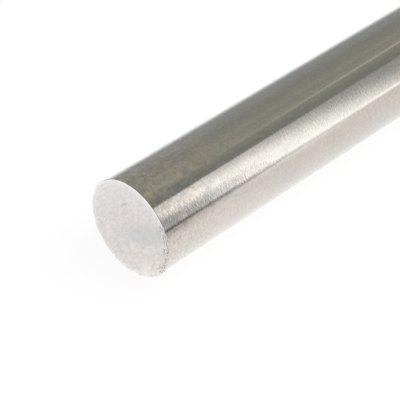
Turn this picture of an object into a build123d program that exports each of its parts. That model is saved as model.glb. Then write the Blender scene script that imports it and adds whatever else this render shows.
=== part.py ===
"""Round metal bar: one cut length of bright, ground round steel, lying along X on a level floor.

The bar is a single solid. X = 0 is the middle of its length, Y = 0 is straight above the line
that it rests on, and Z = 0 is the floor under it. All sizes are in millimetres.
"""

import os

from build123d import *

# Driving dimensions
bar_diameter = 25.0  # the ground size, which a collar, clamp or chuck grips
bar_length = 300.0  # the cut length, over both sawn faces
edge_break = 0.3  # the narrow chamfer that takes the sharp corner off each sawn end

# Worked-out sizes
bar_radius = bar_diameter / 2
half_length = bar_length / 2

# The section stands upright at the first sawn end, with its centre one radius above the floor.
first_end = Plane(origin=(-half_length, 0, bar_radius), x_dir=(0, 1, 0), z_dir=(1, 0, 0))

with BuildPart() as round_bar:
    with BuildSketch(first_end) as section:
        Circle(bar_radius)
    extrude(amount=bar_length)

    # The two rims are the circular edges at the ends of the length.
    rims = round_bar.edges().filter_by(GeomType.CIRCLE).group_by(Axis.X)
    chamfer(rims[0] + rims[-1], length=edge_break)

round_bar.part.label = "round_bar"

os.makedirs("parts", exist_ok=True)
export_step(round_bar.part, "parts/round_bar.step")
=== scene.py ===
"""Bright ground round bar, cut to length: its finish, its sawn ends and the table that it lies on.

Units are metres, and mm() gives them from millimetres. The bar lies along X with its first sawn end
at -X, and Z = 0 is the table top.
Angles round the bar are counted from +Y, level behind the bar, over the top to -Y, level in front.
"""

import math

import bpy
from bpy.props import FloatProperty, FloatVectorProperty, IntProperty, PointerProperty
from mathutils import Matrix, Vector


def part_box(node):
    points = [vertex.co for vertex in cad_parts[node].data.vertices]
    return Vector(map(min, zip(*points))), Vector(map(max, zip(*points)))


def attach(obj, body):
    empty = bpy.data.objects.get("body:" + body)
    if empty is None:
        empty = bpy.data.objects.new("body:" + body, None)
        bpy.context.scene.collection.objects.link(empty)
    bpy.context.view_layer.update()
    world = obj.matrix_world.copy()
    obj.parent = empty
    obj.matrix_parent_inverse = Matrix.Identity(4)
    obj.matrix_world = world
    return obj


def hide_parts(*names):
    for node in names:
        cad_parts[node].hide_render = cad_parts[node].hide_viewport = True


bl_info = {
    "name": "Ground Round Bar",
    "version": (1, 0, 0),
    "blender": (4, 5, 0),
    "location": "View3D > Sidebar > Round Bar",
    "description": "Turns a ground round bar with sawn ends and lays it on a studio table",
    "category": "Add Mesh",
}

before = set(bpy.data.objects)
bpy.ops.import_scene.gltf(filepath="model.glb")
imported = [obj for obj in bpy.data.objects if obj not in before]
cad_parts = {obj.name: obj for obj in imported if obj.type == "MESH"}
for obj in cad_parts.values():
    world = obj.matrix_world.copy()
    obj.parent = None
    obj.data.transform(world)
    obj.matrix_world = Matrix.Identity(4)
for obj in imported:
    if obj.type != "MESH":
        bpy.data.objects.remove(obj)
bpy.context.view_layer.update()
bar_low, bar_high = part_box("round_bar")

BODY = "root"
HALF_LENGTH = (bar_high.x - bar_low.x) / 2
RADIUS = (bar_high.y - bar_low.y) / 2
AXIS_HEIGHT = (bar_low.z + bar_high.z) / 2


def mm(size):
    """A size in millimetres, given in metres."""
    return size * 0.001


# ---------------------------------------------------------------- settings

def length_setting(name, description, default):
    """A length in metres, shown in the scene's own unit."""
    return FloatProperty(
        name=name, description=description, default=default, unit="LENGTH", precision=5
    )


def angle_setting(name, description, degrees):
    """An angle, kept in radians and shown in degrees."""
    return FloatProperty(
        name=name, description=description, default=math.radians(degrees), subtype="ANGLE"
    )


def level_setting(name, description, default):
    """A plain number from 0 upwards, such as a share, a roughness or a light level."""
    return FloatProperty(name=name, description=description, default=default, min=0.0)


def colour_setting(name, description, default):
    """A linear colour."""
    return FloatVectorProperty(
        name=name, description=description, default=default, subtype="COLOR", size=3, min=0.0, soft_max=1.0
    )


class BarShape(bpy.types.PropertyGroup):
    """Sizes of the bar and of the mesh that stands for it."""

    diameter: length_setting("Diameter", "Ground outside diameter", bar_high.y - bar_low.y)
    length: length_setting("Length", "Cut length over both sawn faces", bar_high.x - bar_low.x)
    edge_break: length_setting("Edge break", "Narrow bevel that takes the sharp corner off a rim", mm(0.1))
    saw_relief: length_setting("Saw relief", "Depth of the hollows that the saw leaves", mm(0.05))
    turn_steps: IntProperty(name="Turn steps", description="Facets round the bar", default=288, min=32)
    length_steps: IntProperty(name="Length steps", description="Rings along the bar", default=40, min=2)
    face_rings: IntProperty(name="Face rings", description="Rings across a sawn face", default=64, min=8)


class BurrShape(bpy.types.PropertyGroup):
    """The torn flecks that the saw leaves where it breaks out of the rim."""

    first_angle: angle_setting("First angle", "Where the torn stretch of rim starts", 148.0)
    last_angle: angle_setting("Last angle", "Where the torn stretch of rim ends", 216.0)
    depth: length_setting("Depth", "How far in from the rim the flecks reach", mm(1.7))
    fleck_length: length_setting("Fleck length", "Length of a common fleck", mm(0.7))
    fleck_count: IntProperty(name="Flecks", description="Flecks on the torn stretch", default=120, min=1)
    stray_count: IntProperty(
        name="Stray flecks", description="Flecks on the rest of the rim", default=16, min=1
    )
    seed: IntProperty(name="Seed", description="Picks another scatter of flecks", default=4)


class SteelFinish(bpy.types.PropertyGroup):
    """Colours and texture of the ground outside and the sawn ends."""

    ground_colour: colour_setting("Ground steel", "Colour of the ground outside", (0.610, 0.565, 0.515))
    warm_colour: colour_setting("Warm stain", "Tan stains, mostly by the ends", (0.695, 0.600, 0.505))
    cool_colour: colour_setting("Cool stain", "Grey stains in between", (0.565, 0.545, 0.515))
    ground_roughness: level_setting("Ground roughness", "Roughness of the ground outside", 0.095)
    mark_height: length_setting("Mark height", "Height of the fine grinding marks", mm(0.008))
    sawn_colour: colour_setting("Sawn steel", "Colour of the sawn ends", (0.780, 0.712, 0.662))
    sawn_dark_colour: colour_setting("Sawn shade", "Darker blotches on the sawn ends", (0.652, 0.594, 0.553))
    # Painted shade: a cool grey band across the sawn ends, and the dark in the hollows of the burr's grain.
    cool_shade_colour: colour_setting("Cool patch", "Cool grey patch across the sawn ends", (0.600, 0.575, 0.560))
    # Also the colour of painted light: the paler upper half and the sheen at the rim of a sawn face, and the
    # tops of the burr's grain.
    rubbed_and_sheen_colour: colour_setting("Edge steel", "Steel where a rim is rubbed bright", (0.940, 0.890, 0.850))
    sawn_roughness: level_setting("Sawn roughness", "Roughness of the sawn ends", 0.5)


class StudioLight(bpy.types.PropertyGroup):
    """The table, the room that the steel mirrors, and the camera."""

    table_white: level_setting("Table white", "How white the table shows", 0.90)
    table_shade: level_setting("Table shade", "Share of the table's look that takes shadows", 0.14)
    # The table's look in the steel is painted: a level with painted pools of light and shade.
    table_mirrored: level_setting("Table mirrored", "How bright the table shows in the steel", 0.97)
    window_level: level_setting("Window level", "Brightness of the tall soft window", 1.42)
    lamp_power: FloatProperty(
        name="Lamp power", description="Power of the overhead lamp", default=6.0, unit="POWER"
    )
    lens: FloatProperty(name="Lens", description="Focal length", default=142.86, unit="CAMERA")
    azimuth: angle_setting("Azimuth", "Turn of the view round the bar, from looking along +Y", -45.968)
    elevation: angle_setting("Elevation", "Height of the view above level", 37.581)
    distance: level_setting("Distance", "Camera distance from its aim, in bar diameters", 14.905)
    aim_along: level_setting("Aim along", "Aim point from the first end, in bar diameters", 0.910)
    aim_drop: level_setting("Aim drop", "Aim point below the bar's axis, in bar diameters", 0.173)


# ---------------------------------------------------------------- node helpers

def fill(tree, socket, value):
    """Links an input to another socket, or sets its plain value."""
    if isinstance(value, bpy.types.NodeSocket):
        tree.links.new(value, socket)
    else:
        socket.default_value = value


def add(tree, kind, inputs=None, **options):
    """Adds a node, sets its options and fills its inputs with sockets or plain values."""
    node = tree.nodes.new(kind)
    for name, value in options.items():
        setattr(node, name, value)
    for name, value in (inputs or {}).items():
        fill(tree, node.inputs[name], value)
    return node


def fill_by_identifier(tree, node, values):
    """Fills the inputs of a node that has several inputs of one name."""
    for identifier, value in values.items():
        fill(tree, next(s for s in node.inputs if s.identifier == identifier), value)


def calc(tree, operation, *values):
    """A Math node on sockets or numbers."""
    return add(tree, "ShaderNodeMath", dict(enumerate(values)), operation=operation).outputs[0]


def times(tree, value, *others):
    """The product of several values."""
    for other in others:
        value = calc(tree, "MULTIPLY", value, other)
    return value


def plus(tree, value, *others):
    """The sum of several values."""
    for other in others:
        value = calc(tree, "ADD", value, other)
    return value


def minus(tree, first, second):
    """The first value less the second."""
    return calc(tree, "SUBTRACT", first, second)


def times_plus(tree, value, factor, extra):
    """A value times a factor, plus something extra."""
    return calc(tree, "MULTIPLY_ADD", value, factor, extra)


def off_by(tree, value, place):
    """How far a value lies from a place, to either side."""
    return calc(tree, "ABSOLUTE", minus(tree, value, place))


def long_side(tree, first, second):
    """The long side of a right-angled triangle over its two short sides."""
    return calc(tree, "SQRT", plus(tree, calc(tree, "POWER", first, 2.0), calc(tree, "POWER", second, 2.0)))


def split(tree, place):
    """The X, Y and Z of a place or a direction."""
    return add(tree, "ShaderNodeSeparateXYZ", {"Vector": place}).outputs


def ramp_between(tree, value, start, end, low=0.0, high=1.0, style="SMOOTHSTEP"):
    """A step from low at start to high at end: smooth, or straight with the style LINEAR."""
    inputs = {"Value": value, "From Min": start, "From Max": end, "To Min": low, "To Max": high}
    return add(tree, "ShaderNodeMapRange", inputs, interpolation_type=style).outputs["Result"]


def blend_colours(tree, factor, first, second):
    """Goes from the first colour to the second as the factor goes from 0 to 1."""
    node = add(tree, "ShaderNodeMix", data_type="RGBA")
    fill_by_identifier(tree, node, {"Factor_Float": factor, "A_Color": first, "B_Color": second})
    return node.outputs[2]


def scaled(tree, colour, share):
    """Keeps a share of a colour's brightness; a share over 1 brightens it."""
    return add(tree, "ShaderNodeVectorMath", {0: colour, "Scale": share}, operation="SCALE").outputs[0]


def tinted(tree, level, red=1.0, blue=1.0):
    """A grey at a level of light, with its red and its blue raised or lowered."""
    return add(tree, "ShaderNodeCombineColor", {
        0: times(tree, level, red), 1: level, 2: times(tree, level, blue),
    }).outputs[0]


def rgba(colour):
    """A colour with full alpha."""
    return (*colour, 1.0)


def noise(tree, place, scale, detail=2.0, roughness=0.5, distortion=0.0):
    """A noise value at a place. The scale is in features per metre."""
    inputs = {
        "Vector": place, "Scale": scale, "Detail": detail, "Roughness": roughness, "Distortion": distortion,
    }
    return add(tree, "ShaderNodeTexNoise", inputs).outputs["Fac"]


def bar_place(tree, stretch=(1.0, 1.0, 1.0), turn=0.0):
    """Object coordinates from the bar's axis, turned about it, then scaled to stretch a pattern."""
    place = add(tree, "ShaderNodeTexCoord").outputs["Object"]
    for move in ({"Location": (0.0, 0.0, -AXIS_HEIGHT)}, {"Rotation": (turn, 0.0, 0.0)}, {"Scale": stretch}):
        place = add(tree, "ShaderNodeMapping", {"Vector": place, **move}).outputs["Vector"]
    return place


def bar_noise(tree, scale, stretch=(1.0, 1.0, 1.0), turn=0.0, **grain):
    """A noise value on the bar. A stretch under 1 draws the pattern out that way."""
    return noise(tree, bar_place(tree, stretch, turn), scale, **grain)


def new_material(name):
    """An empty node material and its output node."""
    material = bpy.data.materials.new(name)
    material.use_nodes = True
    material.node_tree.nodes.clear()
    return material, add(material.node_tree, "ShaderNodeOutputMaterial")


# ---------------------------------------------------------------- materials

# Worn spots on a sawn face, in metres: beside (+Y) and above the axis, width, height, and slant.
SCRAPES = (
    (0.0073, -0.0045, 0.0017, 0.0050, 0.05),
    (-0.0006, -0.0043, 0.0019, 0.0046, -0.10),
    (-0.0050, -0.0090, 0.0040, 0.0052, 0.10),
)
NICK = (0.0017, 0.0060, 0.0013, 0.0034, 0.9)
SCRAPE_SHARE = 0.26
NICK_DEPTH = 0.16
PAPER_COLOUR = (0.8, 0.8, 0.8)


def grinding_marks(tree, finish):
    """Fine marks that run round the bar, over a slight pebble and a longer waviness."""
    pebble_share = 0.35
    wave_share = 0.4
    marks = bar_noise(tree, 3200.0, (1.0, 0.36, 0.36), detail=2.0, roughness=0.6, distortion=0.3)
    pebble = bar_noise(tree, 1600.0, (1.0, 0.5, 0.5), detail=3.0, roughness=0.6)
    waves = bar_noise(tree, 420.0, (0.6, 0.6, 0.6))
    height = times_plus(tree, pebble, pebble_share, marks)
    height = times_plus(tree, waves, wave_share, height)
    return add(tree, "ShaderNodeBump", {"Strength": 1.0, "Distance": finish.mark_height, "Height": height})


def ground_stains(tree, finish, end_share, on_top):
    """Grey stains, and tan ones over them, mostly on top and by the ends."""
    grey_share = 0.7
    tan_below = 0.2
    tan = bar_noise(tree, 330.0, (0.6, 1.0, 1.0), detail=4.0, roughness=0.6)
    tan_height = times_plus(tree, on_top, 1.0 - tan_below, tan_below)
    tan = times(tree, ramp_between(tree, tan, 0.42, 0.66), end_share, tan_height)
    grey = bar_noise(tree, 210.0, (0.5, 1.0, 1.0), detail=3.0, roughness=0.6)
    grey = ramp_between(tree, grey, 0.50, 0.70, high=grey_share)
    colour = blend_colours(tree, grey, rgba(finish.ground_colour), rgba(finish.cool_colour))
    return blend_colours(tree, tan, colour, rgba(finish.warm_colour))


def ground_pores(tree, end_share):
    """How much darker the pores are, and how much brighter the steel between them."""
    darkest, brightest = -0.085, 0.06
    everywhere = 0.45
    pores = bar_noise(tree, 1900.0, (1.0, 0.7, 0.7), detail=3.0, roughness=0.65)
    pores = ramp_between(tree, pores, 0.35, 0.65, darkest, brightest)
    return times(tree, pores, plus(tree, end_share, everywhere))


def ground_mottle(tree, from_middle, on_top):
    """A darker and brighter mottle on top, over the last few centimetres before each end."""
    darkest, brightest = -0.13, 0.10
    mottle = bar_noise(tree, 720.0, (0.7, 1.0, 1.0), detail=4.0, roughness=0.65)
    mottle = ramp_between(tree, mottle, 0.35, 0.65, darkest, brightest)
    by_end = ramp_between(tree, from_middle, HALF_LENGTH - mm(45.0), HALF_LENGTH - mm(1.0))
    return times(tree, mottle, on_top, by_end)


def ground_scuffs(tree, parts, from_middle):
    """Short dark scuffs that run along the bar in front, just behind each rim."""
    scuff_height = mm(3.6)
    darkest = -0.22
    scuffs = bar_noise(tree, 2300.0, (0.22, 1.0, 1.0), detail=2.0)
    scuffs = ramp_between(tree, scuffs, 0.52, 0.64, high=darkest)
    by_rim = ramp_between(tree, from_middle, HALF_LENGTH - mm(6.5), HALF_LENGTH - mm(2.5))
    in_band = ramp_between(tree, off_by(tree, parts["Z"], scuff_height), mm(1.9), mm(1.0))
    in_front = calc(tree, "LESS_THAN", parts["Y"], 0.0)
    return times(tree, scuffs, by_rim, in_band, in_front)


def ground_colour(tree, finish):
    """Faint stains and pores on the ground outside, stronger by the ends, with a mottle and scuffs."""
    parts = split(tree, bar_place(tree))
    from_middle = calc(tree, "ABSOLUTE", parts["X"])
    end_share = ramp_between(tree, from_middle, HALF_LENGTH - mm(22.0), HALF_LENGTH, low=0.25)
    on_top = ramp_between(tree, parts["Z"], mm(1.0), mm(6.0))
    colour = ground_stains(tree, finish, end_share, on_top)
    worn = plus(tree, ground_pores(tree, end_share), ground_mottle(tree, from_middle, on_top))
    scuffed = plus(tree, ground_scuffs(tree, parts, from_middle), 1.0)
    return scaled(tree, colour, plus(tree, worn, scuffed))


def ground_steel(finish):
    """Bright ground steel: a worn shine with fine marks that run round the bar."""
    material, output = new_material("ground_steel_finish")
    tree = material.node_tree
    smooth, rough = finish.ground_roughness * 0.85, finish.ground_roughness * 1.2
    worn = bar_noise(tree, 900.0, (0.3, 1.0, 1.0), detail=3.0)
    tangent = add(tree, "ShaderNodeTangent", direction_type="RADIAL", axis="X").outputs["Tangent"]
    shader = add(tree, "ShaderNodeBsdfPrincipled", {
        "Base Color": ground_colour(tree, finish),
        "Metallic": 1.0,
        "Roughness": ramp_between(tree, worn, 0.3, 0.7, smooth, rough),
        "Normal": grinding_marks(tree, finish).outputs["Normal"],
        "Anisotropic": 0.35,
        "Anisotropic Rotation": 0.25,
        "Tangent": tangent,
    })
    tree.links.new(shader.outputs["BSDF"], output.inputs["Surface"])
    return material


def sawn_blotches(tree, finish, blotches, strokes):
    """Soft darker blotches, broken up by the strokes of the teeth."""
    shade = times_plus(tree, strokes, 0.5, times(tree, blotches, 0.5))
    share = ramp_between(tree, shade, 0.38, 0.60)
    return blend_colours(tree, share, rgba(finish.sawn_dark_colour), rgba(finish.sawn_colour))


def painted_cool_shade(tree, finish, colour, parts, blotches, strokes):
    """Painted shade: a cooler, darker band that runs across the face, a little below its middle."""
    slant = 0.6
    below_middle = mm(2.2)
    ragged = mm(2.0)
    # Painted shade: the band is darker and cooler than the sawn steel around it, broken up by the blotches.
    off_patch = plus(tree, times_plus(tree, parts["Y"], slant, parts["Z"]), below_middle)
    off_patch = times_plus(tree, strokes, ragged, calc(tree, "ABSOLUTE", off_patch))
    patch = times(
        tree,
        ramp_between(tree, off_patch, mm(5.0), mm(2.4)),
        ramp_between(tree, parts["Y"], mm(6.0), mm(-4.0), low=0.2),
        ramp_between(tree, blotches, 0.35, 0.6, low=0.35, high=0.75),
    )
    return blend_colours(tree, patch, colour, rgba(finish.cool_shade_colour))


def worn_spot(tree, parts, spot, ragged):
    """How strong a worn spot is at each place on a sawn face, with a soft and ragged edge."""
    beside, above, width, height, slant = spot
    up = minus(tree, parts["Z"], above)
    off = times_plus(tree, up, slant, minus(tree, parts["Y"], beside))
    spread = long_side(
        tree, calc(tree, "DIVIDE", off, width / 2), calc(tree, "DIVIDE", up, height / 2)
    )
    return ramp_between(tree, plus(tree, spread, ragged), 1.1, 0.4)


def scrapes_and_nick(tree, finish, colour, parts, strokes):
    """Upright pale scrapes, and one dark slanting nick."""
    ragged = times_plus(tree, strokes, 1.6, -0.8)
    for spot in SCRAPES:
        scrape = times(tree, worn_spot(tree, parts, spot, ragged), SCRAPE_SHARE)
        colour = blend_colours(tree, scrape, colour, rgba(finish.rubbed_and_sheen_colour))
    nick = worn_spot(tree, parts, NICK, ragged)
    return scaled(tree, colour, times_plus(tree, nick, -NICK_DEPTH, 1.0))


def paint_upper_sheen_and_line(tree, finish, colour, parts, out):
    """Paints light on the upper half, paler towards its rim, and draws a faint turned line just inside the
    rim.
    """
    painted_sheen_share = 0.20
    line_radius = RADIUS * 0.93
    line_depth = 0.10
    # Painted light: the upper half is paled as if it caught more light than the lower.
    upper = times_plus(tree, parts["Y"], 0.4, parts["Z"])
    pale = times(
        tree,
        ramp_between(tree, upper, 0.0, mm(10.0), high=painted_sheen_share),
        ramp_between(tree, out, mm(3.0), mm(9.0)),
    )
    colour = blend_colours(tree, pale, colour, rgba(finish.rubbed_and_sheen_colour))
    line = times(
        tree,
        ramp_between(tree, off_by(tree, out, line_radius), mm(0.22), mm(0.05)),
        ramp_between(tree, parts["Z"], mm(-2.0), mm(7.0)),
    )
    return scaled(tree, colour, times_plus(tree, line, -line_depth, 1.0))


def pale_rim_and_sheen(tree, finish, colour, parts, out, strokes):
    """Rubs the rim pale, paler on top, where the paleness is painted light, and paints a bright sheen at its
    very edge.
    """
    ragged = mm(0.8)
    edge_sheen_share = 0.9
    ragged_out = times_plus(tree, strokes, ragged, out)
    pale = times(
        tree,
        ramp_between(tree, ragged_out, RADIUS * 0.86, RADIUS),
        # Painted light: the pale share grows from the bottom of the rim to its top.
        ramp_between(tree, parts["Z"], 0.0, mm(10.0), low=0.28, high=0.50),
    )
    # Painted sheen: a bright ragged line at the very edge of the rim.
    bright = ramp_between(tree, ragged_out, RADIUS * 0.990, RADIUS * 1.012, high=edge_sheen_share)
    return blend_colours(tree, calc(tree, "MAXIMUM", pale, bright), colour, rgba(finish.rubbed_and_sheen_colour))


def sawn_steel(finish):
    """Matt sawn steel: soft blotches, short strokes left by the teeth, a rim rubbed pale with a painted
    sheen at its edge, a painted cool shade and a painted paler upper half.
    """
    material, output = new_material("sawn_steel_finish")
    tree = material.node_tree
    parts = split(tree, bar_place(tree))
    out = long_side(tree, parts["Y"], parts["Z"])
    blotches = bar_noise(tree, 480.0, detail=4.0, roughness=0.6, distortion=0.6)
    strokes = bar_noise(
        tree, 1500.0, (1.0, 1.0, 0.4), math.radians(-45.0), detail=3.0, roughness=0.6, distortion=0.6
    )
    colour = sawn_blotches(tree, finish, blotches, strokes)
    colour = painted_cool_shade(tree, finish, colour, parts, blotches, strokes)
    colour = scrapes_and_nick(tree, finish, colour, parts, strokes)
    colour = paint_upper_sheen_and_line(tree, finish, colour, parts, out)
    colour = pale_rim_and_sheen(tree, finish, colour, parts, out, strokes)

    tooth_share = 0.5
    stroke_height = mm(0.05)
    tooth = bar_noise(tree, 2600.0, detail=2.0)
    height = plus(tree, strokes, times(tree, tooth, tooth_share))
    bump = add(tree, "ShaderNodeBump", {"Strength": 1.0, "Distance": stroke_height, "Height": height})
    smooth, rough = finish.sawn_roughness * 0.9, finish.sawn_roughness * 1.1
    shader = add(tree, "ShaderNodeBsdfPrincipled", {
        "Base Color": colour,
        "Metallic": 1.0,
        "Roughness": ramp_between(tree, blotches, 0.3, 0.7, smooth, rough),
        "Normal": bump.outputs["Normal"],
    })
    tree.links.new(shader.outputs["BSDF"], output.inputs["Surface"])
    return material


def torn_steel(finish):
    """Bare torn steel of the burr, with painted light and shade: lighter on the tops of its grain, darker in
    its hollows.
    """
    material, output = new_material("torn_steel_finish")
    tree = material.node_tree
    grain_height = mm(0.03)
    smooth, rough = 0.55, 0.70
    grain = bar_noise(tree, 2200.0, detail=3.0, roughness=0.6)
    # Painted light and shade: the colour follows the grain's height, like the bump, darker low and lighter
    # high.
    bright = ramp_between(tree, grain, 0.25, 0.65)
    bump = add(tree, "ShaderNodeBump", {"Strength": 1.0, "Distance": grain_height, "Height": grain})
    shader = add(tree, "ShaderNodeBsdfPrincipled", {
        "Base Color": blend_colours(tree, bright, rgba(finish.cool_shade_colour), rgba(finish.rubbed_and_sheen_colour)),
        "Metallic": 1.0,
        "Roughness": ramp_between(tree, grain, 0.3, 0.7, smooth, rough),
        "Normal": bump.outputs["Normal"],
    })
    tree.links.new(shader.outputs["BSDF"], output.inputs["Surface"])
    return material


def mirrored_front(tree, light, parts, away):
    """The table in front of the bar, as the steel shows it: a painted pool of light, painted shade and a
    painted glow.
    """
    # A painted pool of light, laid where the window would throw it, runs forward from near the first end at
    # fifty degrees.
    slant_cosine, slant_sine = 0.766, 0.643
    pool_half_width = mm(45.0)
    painted_pool_level = 0.30
    painted_shade_level = 0.34
    from_start = plus(tree, parts["X"], HALF_LENGTH - mm(22.0))
    across = times_plus(tree, from_start, slant_cosine, times(tree, away, -slant_sine))
    far = ramp_between(tree, away, mm(20.0), mm(260.0))
    pool = ramp_between(tree, calc(tree, "ABSOLUTE", across), pool_half_width, 0.0, high=painted_pool_level)
    shade = times(
        tree,
        ramp_between(tree, across, mm(-12.0), mm(-50.0), high=painted_shade_level),
        ramp_between(tree, away, mm(20.0), mm(100.0)),
    )
    by_end = ramp_between(tree, parts["X"], mm(-70.0), mm(-125.0), low=-0.02, high=0.07)
    level = minus(tree, times_plus(tree, far, pool, by_end), shade)
    level = plus(tree, level, light.table_mirrored)

    # Close to the bar the table has a painted glow, beside its length more than past its end.
    beside = ramp_between(
        tree, parts["X"], bar_low.x - mm(4.0), bar_low.x + mm(4.0), low=mm(0.7), high=mm(2.2)
    )
    glow = calc(tree, "DIVIDE", beside, calc(tree, "MAXIMUM", away, mm(4.0)))
    return add(tree, "ShaderNodeCombineColor", {
        0: times_plus(tree, glow, 0.88, level),
        1: plus(tree, glow, level),
        2: times_plus(tree, glow, 1.15, level),
    }).outputs[0]


def mirrored_back(tree, away):
    """The table behind the bar, as the steel shows it: painted shade, darker with distance."""
    least, most = 0.45, 1.20
    bright_reach = mm(46.0)
    distance = calc(tree, "MAXIMUM", minus(tree, away, mm(10.0)), mm(10.0))
    level = plus(tree, calc(tree, "DIVIDE", bright_reach, distance), least)
    level = calc(tree, "MINIMUM", level, most)
    return tinted(tree, level, red=0.95, blue=1.05)


def mirrored_table(tree, light):
    """How bright the table shows in the steel: a painted level with painted light and shade."""
    parts = split(tree, add(tree, "ShaderNodeTexCoord").outputs["Object"])
    away = calc(tree, "ABSOLUTE", parts["Y"])
    behind = calc(tree, "GREATER_THAN", parts["Y"], 0.0)
    colour = blend_colours(
        tree, behind, mirrored_front(tree, light, parts, away), mirrored_back(tree, away)
    )
    return add(tree, "ShaderNodeEmission", {"Color": colour}).outputs[0]


def table_surface(light):
    """A white table: white to the eye, painted bright and shaded in the steel, and still takes a soft
    shadow.
    """
    material, output = new_material("white_table")
    tree = material.node_tree
    path = add(tree, "ShaderNodeLightPath").outputs
    paper = add(tree, "ShaderNodeBsdfDiffuse", {"Color": rgba(PAPER_COLOUR)})
    mirrored = calc(tree, "MAXIMUM", path["Is Glossy Ray"], path["Is Transmission Ray"])
    unseen = add(tree, "ShaderNodeMixShader", {
        0: mirrored, 1: paper.outputs[0], 2: mirrored_table(tree, light),
    })
    shade = light.table_shade
    shadows = add(tree, "ShaderNodeBsdfDiffuse", {"Color": rgba((shade, shade, shade))})
    white = add(tree, "ShaderNodeEmission", {"Strength": light.table_white})
    seen = add(tree, "ShaderNodeAddShader", {0: shadows.outputs[0], 1: white.outputs[0]})
    surface = add(tree, "ShaderNodeMixShader", {
        0: path["Is Camera Ray"], 1: unseen.outputs[0], 2: seen.outputs[0],
    })
    tree.links.new(surface.outputs[0], output.inputs["Surface"])
    return material


# ---------------------------------------------------------------- shapes

def shape_tree(name, sizes):
    """An empty Geometry Nodes tree with its named inputs, and its two ends."""
    tree = bpy.data.node_groups.new(name, "GeometryNodeTree")
    kinds = {float: "NodeSocketFloat", int: "NodeSocketInt", bpy.types.Material: "NodeSocketMaterial"}
    for label, value in sizes.items():
        tree.interface.new_socket(name=label, in_out="INPUT", socket_type=kinds[type(value)])
    tree.interface.new_socket(name="Geometry", in_out="OUTPUT", socket_type="NodeSocketGeometry")
    return tree, add(tree, "NodeGroupInput").outputs, add(tree, "NodeGroupOutput")


def mesh_from_tree(name, tree, sizes):
    """Runs a tree once with its sizes and keeps the result as a plain mesh object."""
    carrier = bpy.data.objects.new(name + "_carrier", bpy.data.meshes.new(name + "_carrier"))
    bpy.context.scene.collection.objects.link(carrier)
    modifier = carrier.modifiers.new(name, "NODES")
    modifier.node_group = tree
    for item in tree.interface.items_tree:
        if item.in_out == "INPUT":
            modifier[item.identifier] = sizes[item.name]
    graph = bpy.context.evaluated_depsgraph_get()
    mesh = bpy.data.meshes.new_from_object(carrier.evaluated_get(graph))
    bpy.data.objects.remove(carrier)
    mesh.name = name
    if not mesh.polygons:
        raise RuntimeError(f"{name} came out empty")
    piece = bpy.data.objects.new(name, mesh)
    bpy.context.scene.collection.objects.link(piece)
    return piece


def ringed_blank(tree, size, radius):
    """A cylinder along Z, with rings along its side and across its two faces."""
    return add(tree, "GeometryNodeMeshCylinder", {
        "Vertices": size["Turn Steps"], "Side Segments": size["Length Steps"],
        "Fill Segments": size["Face Rings"], "Radius": radius, "Depth": size["Length"],
    }, fill_type="TRIANGLE_FAN").outputs["Mesh"]


def sawn_ends(tree, size, blank, radius):
    """Gives the blank its edge breaks and the saw's shallow hollows."""
    just_under = 0.9999
    inside_edge = 0.998
    place = add(tree, "GeometryNodeInputPosition").outputs[0]
    parts = split(tree, place)
    out = long_side(tree, parts["X"], parts["Y"])
    inwards = times(tree, calc(tree, "SIGN", parts["Z"]), -1.0)
    face_height = times(tree, size["Length"], 0.5, just_under)
    on_end = calc(tree, "GREATER_THAN", calc(tree, "ABSOLUTE", parts["Z"]), face_height)
    on_rim = calc(tree, "GREATER_THAN", out, times(tree, radius, just_under))

    # The rings of a face close up so that the last one lies one edge break inside the rim.
    rings = calc(tree, "DIVIDE", minus(tree, size["Face Rings"], 1.0), size["Face Rings"])
    inner = minus(tree, radius, size["Edge Break"])
    shrink = calc(tree, "DIVIDE", inner, times(tree, radius, rings))
    shrink_xy = add(tree, "ShaderNodeCombineXYZ", {"X": shrink, "Y": shrink, "Z": 1.0}).outputs[0]
    closed_up = add(tree, "ShaderNodeVectorMath", {0: place, 1: shrink_xy}, operation="MULTIPLY").outputs[0]
    off_rim = times(tree, on_end, minus(tree, 1.0, on_rim))
    faced = add(tree, "GeometryNodeSetPosition", {
        "Geometry": blank, "Selection": off_rim, "Position": closed_up,
    })

    # The rim itself drops back by one edge break.
    drop = add(tree, "ShaderNodeCombineXYZ", {"Z": times(tree, inwards, size["Edge Break"])}).outputs[0]
    broken = add(tree, "GeometryNodeSetPosition", {
        "Geometry": faced.outputs[0], "Selection": times(tree, on_end, on_rim), "Offset": drop,
    })

    # The saw leaves shallow hollows, drawn out along its strokes.
    drawn_out = (0.35, 1.0, 1.0)
    strokes = add(tree, "ShaderNodeVectorMath", {0: place, 1: drawn_out}, operation="MULTIPLY").outputs[0]
    hollows = noise(tree, strokes, 700.0, detail=3.0, roughness=0.55, distortion=0.3)
    within = calc(tree, "LESS_THAN", out, times(tree, inner, inside_edge))
    sink = times(tree, hollows, size["Saw Relief"], inwards)
    return add(tree, "GeometryNodeSetPosition", {
        "Geometry": broken.outputs[0],
        "Selection": times(tree, on_end, within),
        "Offset": add(tree, "ShaderNodeCombineXYZ", {"Z": sink}).outputs[0],
    }).outputs[0]


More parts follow.
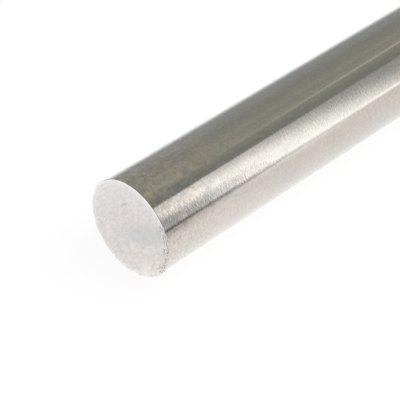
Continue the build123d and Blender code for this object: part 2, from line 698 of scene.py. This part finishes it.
def turned_bar_tree(sizes):
    """A bar turned about X: ringed sawn faces, a narrow edge break on each rim and a plain round side."""
    tree, size, end = shape_tree("turned_bar", sizes)
    sharp_corner = 0.35
    end_facing = 0.85
    radius = times(tree, size["Diameter"], 0.5)
    sawn = sawn_ends(tree, size, ringed_blank(tree, size, radius), radius)

    # Laid down along X, touching the table.
    lift = add(tree, "ShaderNodeCombineXYZ", {"Z": radius}).outputs[0]
    laid = add(tree, "GeometryNodeTransform", {
        "Geometry": sawn, "Translation": lift, "Rotation": (0.0, math.pi / 2, 0.0),
    })
    corner = add(tree, "GeometryNodeInputMeshEdgeAngle").outputs["Unsigned Angle"]
    creased = add(tree, "GeometryNodeStoreNamedAttribute", {
        "Geometry": laid.outputs[0],
        "Name": "sharp_edge",
        "Value": calc(tree, "GREATER_THAN", corner, sharp_corner),
    }, data_type="BOOLEAN", domain="EDGE")
    smooth = add(tree, "GeometryNodeSetShadeSmooth", {"Geometry": creased.outputs[0]})

    # A face that looks along the bar is sawn; the edge break and the side are ground.
    facing = split(tree, add(tree, "GeometryNodeInputNormal").outputs[0])["X"]
    on_sawn_end = calc(tree, "GREATER_THAN", calc(tree, "ABSOLUTE", facing), end_facing)
    whole = add(tree, "GeometryNodeRealizeInstances", {"Geometry": smooth.outputs[0]})
    ground = add(tree, "GeometryNodeSetMaterial", {
        "Geometry": whole.outputs[0], "Material": size["Ground Steel"],
    })
    finished = add(tree, "GeometryNodeSetMaterial", {
        "Geometry": ground.outputs[0], "Selection": on_sawn_end, "Material": size["Sawn Steel"],
    })
    tree.links.new(finished.outputs[0], end.inputs["Geometry"])
    return tree


def fleck_shape(tree):
    """One fleck of torn steel: a tapering sliver, one unit long along Z and bowed along its length."""
    foot_radius, tip_radius = 0.5, 0.12
    bow = 0.8
    sliver = add(tree, "GeometryNodeMeshCone", {
        "Vertices": 5, "Side Segments": 3, "Fill Segments": 1,
        "Radius Top": tip_radius, "Radius Bottom": foot_radius, "Depth": 1.0,
    }).outputs["Mesh"]
    along = split(tree, add(tree, "GeometryNodeInputPosition").outputs[0])["Z"]
    bowed = add(tree, "ShaderNodeCombineXYZ", {"Y": times(tree, calc(tree, "POWER", along, 2.0), bow)})
    return add(tree, "GeometryNodeSetPosition", {
        "Geometry": sliver, "Offset": bowed.outputs[0],
    }).outputs[0]


def scatter(tree, low, high, seed):
    """A random number for each point."""
    node = add(tree, "FunctionNodeRandomValue", data_type="FLOAT")
    fill_by_identifier(tree, node, {"Min_001": low, "Max_001": high, "Seed": seed})
    return next(s for s in node.outputs if s.identifier == "Value_001")


def fleck_sizes(tree, size, seed):
    """The width, thickness and length of each fleck, as shares of a common fleck's length."""
    shortest, longest = 0.45, 1.5
    narrowest, widest = 0.22, 0.40
    thickness_share = 0.07
    length = times(tree, size["Fleck Length"], scatter(tree, shortest, longest, plus(tree, seed, 1)))
    width = times(tree, size["Fleck Length"], scatter(tree, narrowest, widest, plus(tree, seed, 2)))
    thickness = times(tree, size["Fleck Length"], thickness_share)
    return add(tree, "ShaderNodeCombineXYZ", {"X": width, "Y": thickness, "Z": length}).outputs[0]


def fleck_swings(tree, seed):
    """How far each fleck is turned out of line, in radians."""
    return add(tree, "ShaderNodeCombineXYZ", {
        "X": scatter(tree, -0.12, 0.12, plus(tree, seed, 3)),
        "Y": scatter(tree, -0.6, 0.6, plus(tree, seed, 4)),
        "Z": scatter(tree, -0.25, 0.25, plus(tree, seed, 5)),
    }).outputs[0]


def burr_tree(sizes):
    """Flecks of torn steel scattered along one stretch of a rim, lying on the sawn face."""
    tree, size, end = shape_tree("saw_burr", sizes)
    seed = size["Seed"]
    arc_steps = 200
    crowding = 1.8
    arc = add(tree, "GeometryNodeCurveArc", {
        "Resolution": arc_steps, "Radius": size["Radius"], "Start Angle": size["First Angle"],
        "Sweep Angle": minus(tree, size["Last Angle"], size["First Angle"]),
    }).outputs["Curve"]
    points = add(tree, "GeometryNodeCurveToPoints", {"Curve": arc, "Count": size["Flecks"]}).outputs

    # Most flecks stay close to the rim; a few reach farther in over the face.
    place = add(tree, "GeometryNodeInputPosition").outputs[0]
    reach = calc(tree, "POWER", scatter(tree, 0.0, 1.0, seed), crowding)
    reach = times(tree, calc(tree, "DIVIDE", times(tree, reach, size["Depth"]), size["Radius"]), -1.0)
    drawn_in = scaled(tree, place, reach)
    strewn = add(tree, "GeometryNodeSetPosition", {"Geometry": points["Points"], "Offset": drawn_in})
    flecks = add(tree, "GeometryNodeInstanceOnPoints", {
        "Points": strewn.outputs[0], "Instance": fleck_shape(tree),
        "Rotation": points["Rotation"], "Scale": fleck_sizes(tree, size, seed),
    })
    turned = add(tree, "GeometryNodeRotateInstances", {
        "Instances": flecks.outputs[0], "Rotation": fleck_swings(tree, seed),
    })

    # The arc's plane is stood up at the bar's end: its X becomes Y and its Y becomes Z.
    foot = add(tree, "ShaderNodeCombineXYZ", {"X": size["End Place"], "Z": size["Axis Height"]}).outputs[0]
    stood = add(tree, "GeometryNodeTransform", {
        "Geometry": turned.outputs[0], "Translation": foot, "Rotation": (math.pi / 2, 0.0, math.pi / 2),
    })
    whole = add(tree, "GeometryNodeRealizeInstances", {"Geometry": stood.outputs[0]})
    finished = add(tree, "GeometryNodeSetMaterial", {
        "Geometry": whole.outputs[0], "Material": size["Torn Steel"],
    })
    tree.links.new(finished.outputs[0], end.inputs["Geometry"])
    return tree


# ---------------------------------------------------------------- operators

class ROUNDBAR_OT_turn_bar(bpy.types.Operator):
    """Turns the bar with its sawn faces and broken edges, and gives it its steel"""

    bl_idname = "roundbar.turn_bar"
    bl_label = "Turn the Bar"

    def execute(self, context):
        shape, finish = context.scene.bar_shape, context.scene.steel_finish
        sizes = {
            "Diameter": shape.diameter,
            "Length": shape.length,
            "Edge Break": shape.edge_break,
            "Saw Relief": shape.saw_relief,
            "Turn Steps": shape.turn_steps,
            "Length Steps": shape.length_steps,
            "Face Rings": shape.face_rings,
            "Ground Steel": ground_steel(finish),
            "Sawn Steel": sawn_steel(finish),
        }
        bar = mesh_from_tree("ground_round_bar", turned_bar_tree(sizes), sizes)
        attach(bar, BODY)
        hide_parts("round_bar")
        return {"FINISHED"}


class ROUNDBAR_OT_raise_burr(bpy.types.Operator):
    """Raises the burr that the saw leaves on the rims of both ends"""

    bl_idname = "roundbar.raise_burr"
    bl_label = "Raise the Burr"

    def execute(self, context):
        shape, burr, finish = context.scene.bar_shape, context.scene.burr_shape, context.scene.steel_finish
        inset = mm(0.20)
        proud = mm(0.04)
        stray_depth, stray_length = burr.depth / 4, burr.fleck_length * 0.6
        snag_depth, snag_length = mm(0.05), burr.fleck_length * 0.8
        common = {
            "Radius": shape.diameter / 2 - inset,
            "Axis Height": AXIS_HEIGHT,
            "Torn Steel": torn_steel(finish),
        }
        torn = {
            "First Angle": burr.first_angle,
            "Last Angle": burr.last_angle,
            "Depth": burr.depth,
            "Fleck Length": burr.fleck_length,
            "Flecks": burr.fleck_count,
        }
        stray = {
            "First Angle": burr.last_angle,
            "Last Angle": burr.first_angle + 2 * math.pi,
            "Depth": stray_depth,
            "Fleck Length": stray_length,
            "Flecks": burr.stray_count,
        }

        # One snag stands at the very edge, high on the side away from the torn stretch.
        snag = {
            "Radius": shape.diameter / 2,
            "First Angle": math.radians(53.0),
            "Last Angle": math.radians(55.5),
            "Depth": snag_depth,
            "Fleck Length": snag_length,
            "Flecks": 3,
        }
        groups = (
            ("first_end_burr", bar_low.x - proud, torn, 0),
            ("first_end_strays", bar_low.x - proud, stray, 10),
            ("first_end_snag", bar_low.x - proud, snag, 20),
            ("second_end_burr", bar_high.x + proud, torn, 30),
            ("second_end_strays", bar_high.x + proud, stray, 40),
        )
        for name, end_place, stretch, seed_step in groups:
            sizes = {**common, **stretch, "End Place": end_place, "Seed": burr.seed + seed_step}
            flecks = mesh_from_tree(name, burr_tree(sizes), sizes)
            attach(flecks, BODY)
        return {"FINISHED"}


# ---------------------------------------------------------------- stage

# The room that the steel mirrors is laid out in degrees: a turn round the bar, as everywhere here, and
# a lean, which is 0 along the bar and 90 square to it.
HALF_TURN = 180.0
ROOM_WALLS = (
    (0.0, (0.42, 0.45, 0.46)),
    (6.0, (0.37, 0.40, 0.405)),
    (24.0, (0.36, 0.39, 0.385)),
    (46.0, (0.32, 0.34, 0.33)),
    (62.0, (0.34, 0.36, 0.33)),
    (72.0, (0.38, 0.40, 0.36)),
    (79.0, (0.35, 0.37, 0.33)),
    (92.0, (0.39, 0.41, 0.37)),
    (104.0, (0.33, 0.35, 0.32)),
    (114.0, (0.28, 0.30, 0.29)),
)
WINDOW_HEAD = (121.0, 124.6)
SILL_TOP = 174.4
PANEL_COLOUR = (1.25, 1.0, 0.75)
PANEL_LEVEL = 0.042
TABLE_REACH = 6.0
LAMP_PLACE = (0.25, -0.45, 0.95)
LAMP_SIZE = 0.9


def room_walls(tree, turn):
    """The dim room, from level behind the bar, over the ceiling, to the head of the window."""
    ramp = add(tree, "ShaderNodeValToRGB", {"Fac": calc(tree, "DIVIDE", turn, HALF_TURN)})
    stops = ramp.color_ramp.elements
    stops.remove(stops[1])
    for index, (angle, colour) in enumerate(ROOM_WALLS):
        stop = stops[0] if index == 0 else stops.new(angle / HALF_TURN)
        stop.position = angle / HALF_TURN
        stop.color = rgba(colour)
    return ramp.outputs["Color"]


def window_pane(tree, light, turn, lean):
    """The tall soft window, which stands a little out of square, so that it slants along the bar."""
    middle_lean, middle_turn, turns_to_a_lean = 56.85, 132.0, 8.2
    upper_edge, lower_edge = 57.6, 54.0
    head_share = 0.5
    wall_level = 0.45
    slant = calc(tree, "DIVIDE", minus(tree, turn, middle_turn), turns_to_a_lean)
    middle = minus(tree, middle_lean, slant)
    far_side = ramp_between(tree, minus(tree, lean, middle), -8.2, -1.4, style="LINEAR")
    near_edge = ramp_between(tree, turn, 134.0, 166.0, upper_edge, lower_edge)
    near_side = ramp_between(tree, minus(tree, lean, near_edge), 2.1, -1.9)
    glow = times(tree, far_side, near_side, ramp_between(tree, turn, 118.0, 157.0, low=head_share))
    return times_plus(tree, glow, light.window_level, wall_level)


def window_sill(tree, turn, lean):
    """The sill under the window, bright along the bar and dark by its first end."""
    dark, bright = 0.17, 1.72
    foot_share = 0.86
    level = ramp_between(tree, lean, 55.6, 51.2, dark, bright)
    return times(tree, level, ramp_between(tree, turn, 175.5, 177.5, 1.0, foot_share))


def brown_panel(tree, turn, lean):
    """The faint light of a brown panel that hangs over the first end."""
    level = times(
        tree,
        ramp_between(tree, turn, 0.0, 20.0),
        ramp_between(tree, turn, 104.0, 80.0),
        ramp_between(tree, lean, 52.0, 55.5, high=PANEL_LEVEL),
    )
    return scaled(tree, PANEL_COLOUR, level)


def lamp_tube(tree, turn, lean):
    """The light of a pale lamp tube on the ceiling, brighter towards the far end."""
    start_turn, slant = 67.3, 0.57
    half_width = 3.2
    faint, bright = 0.02, 0.26
    tube_turn = times_plus(tree, lean, slant, start_turn)
    level = times(
        tree,
        ramp_between(tree, off_by(tree, turn, tube_turn), half_width, 0.0),
        ramp_between(tree, lean, 56.0, 45.0, faint, bright),
    )
    return tinted(tree, level)


def studio_room(light):
    """What the steel mirrors above the table: a dim room and one tall soft window beside the camera."""
    world = bpy.data.worlds.new("studio_room")
    world.use_nodes = True
    tree = world.node_tree
    tree.nodes.clear()
    parts = split(tree, add(tree, "ShaderNodeTexCoord").outputs["Generated"])
    turn = calc(tree, "DEGREES", calc(tree, "ARCTAN2", parts["Z"], parts["Y"]))
    lean = calc(tree, "DEGREES", calc(tree, "ARCCOSINE", calc(tree, "ABSOLUTE", parts["X"])))

    on_sill = calc(tree, "GREATER_THAN", turn, SILL_TOP)
    above_sill = times(tree, window_pane(tree, light, turn, lean), minus(tree, 1.0, on_sill))
    lit = plus(tree, above_sill, times(tree, window_sill(tree, turn, lean), on_sill))
    opening = ramp_between(tree, turn, *WINDOW_HEAD)
    room = blend_colours(tree, opening, room_walls(tree, turn), tinted(tree, lit, red=0.965, blue=1.025))
    for extra in (brown_panel(tree, turn, lean), lamp_tube(tree, turn, lean)):
        room = add(tree, "ShaderNodeVectorMath", {0: room, 1: extra}, operation="ADD").outputs[0]

    # The room is for the steel and for the light in the scene; the eye sees plain white instead.
    path = add(tree, "ShaderNodeLightPath").outputs
    shown = blend_colours(tree, path["Is Camera Ray"], room, rgba((1.0, 1.0, 1.0)))
    background = add(tree, "ShaderNodeBackground", {"Color": shown, "Strength": 1.0})
    tree.links.new(background.outputs[0], add(tree, "ShaderNodeOutputWorld").inputs["Surface"])
    return world


def lay_table(scene, light):
    """Lays the white table under the bar."""
    mesh = bpy.data.meshes.new("table_top")
    corners = [(-1, -1), (1, -1), (1, 1), (-1, 1)]
    mesh.from_pydata([(x * TABLE_REACH, y * TABLE_REACH, 0.0) for x, y in corners], [], [(0, 1, 2, 3)])
    mesh.materials.append(table_surface(light))
    table = bpy.data.objects.new("table_top", mesh)
    scene.collection.objects.link(table)


def hang_lamp(scene, light):
    """Hangs a soft round lamp over the table, out of the steel's and the camera's sight."""
    data = bpy.data.lights.new("overhead_lamp", "AREA")
    data.shape = "DISK"
    data.size = LAMP_SIZE
    data.energy = light.lamp_power
    lamp = bpy.data.objects.new("overhead_lamp", data)
    lamp.location = LAMP_PLACE
    lamp.rotation_euler = (-lamp.location).to_track_quat("-Z", "Y").to_euler()
    lamp.visible_glossy = False
    lamp.visible_camera = False
    scene.collection.objects.link(lamp)


def set_camera(scene, light, shape):
    """Sets the camera at its distance from a point near the first end."""
    level = math.cos(light.elevation)
    gaze = Vector((
        -math.sin(light.azimuth) * level,
        math.cos(light.azimuth) * level,
        -math.sin(light.elevation),
    ))
    aim = Vector((
        bar_low.x + light.aim_along * shape.diameter,
        0.0,
        AXIS_HEIGHT - light.aim_drop * shape.diameter,
    ))
    data = bpy.data.cameras.new("camera")
    data.lens = light.lens
    camera = bpy.data.objects.new("camera", data)
    camera.location = aim - gaze * light.distance * shape.diameter
    camera.rotation_euler = gaze.to_track_quat("-Z", "Y").to_euler()
    scene.collection.objects.link(camera)
    scene.camera = camera


class ROUNDBAR_OT_lay_stage(bpy.types.Operator):
    """Lays the white table, lights it and sets the camera"""

    bl_idname = "roundbar.lay_stage"
    bl_label = "Lay the Stage"

    def execute(self, context):
        scene, light = context.scene, context.scene.studio_light
        scene.view_settings.view_transform = "Standard"
        scene.world = studio_room(light)
        lay_table(scene, light)
        hang_lamp(scene, light)
        set_camera(scene, light, scene.bar_shape)
        return {"FINISHED"}


# ---------------------------------------------------------------- panel and registration

class ROUNDBAR_PT_panel(bpy.types.Panel):
    """Lists the steps in the sidebar"""

    bl_idname = "ROUNDBAR_PT_panel"
    bl_label = "Ground Round Bar"
    bl_space_type = "VIEW_3D"
    bl_region_type = "UI"
    bl_category = "Round Bar"

    def draw(self, context):
        for step in STEPS:
            self.layout.operator(step.bl_idname)
        for name in GROUPS:
            group = getattr(context.scene, name)
            box = self.layout.box()
            for setting in group.__annotations__:
                box.prop(group, setting)


STEPS = (ROUNDBAR_OT_turn_bar, ROUNDBAR_OT_raise_burr, ROUNDBAR_OT_lay_stage)
GROUPS = {
    "bar_shape": BarShape,
    "burr_shape": BurrShape,
    "steel_finish": SteelFinish,
    "studio_light": StudioLight,
}


def register():
    """Registers the settings, the steps and the panel."""
    for name, group in GROUPS.items():
        bpy.utils.register_class(group)
        setattr(bpy.types.Scene, name, PointerProperty(type=group))
    for step in STEPS:
        bpy.utils.register_class(step)
    bpy.utils.register_class(ROUNDBAR_PT_panel)


def unregister():
    """Takes back what register added."""
    bpy.utils.unregister_class(ROUNDBAR_PT_panel)
    for step in reversed(STEPS):
        bpy.utils.unregister_class(step)
    for name, group in GROUPS.items():
        delattr(bpy.types.Scene, name)
        bpy.utils.unregister_class(group)


def main():
    """Registers the add-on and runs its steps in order."""
    register()
    bpy.ops.roundbar.turn_bar()
    bpy.ops.roundbar.raise_burr()
    bpy.ops.roundbar.lay_stage()


if __name__ == "__main__":
    main()
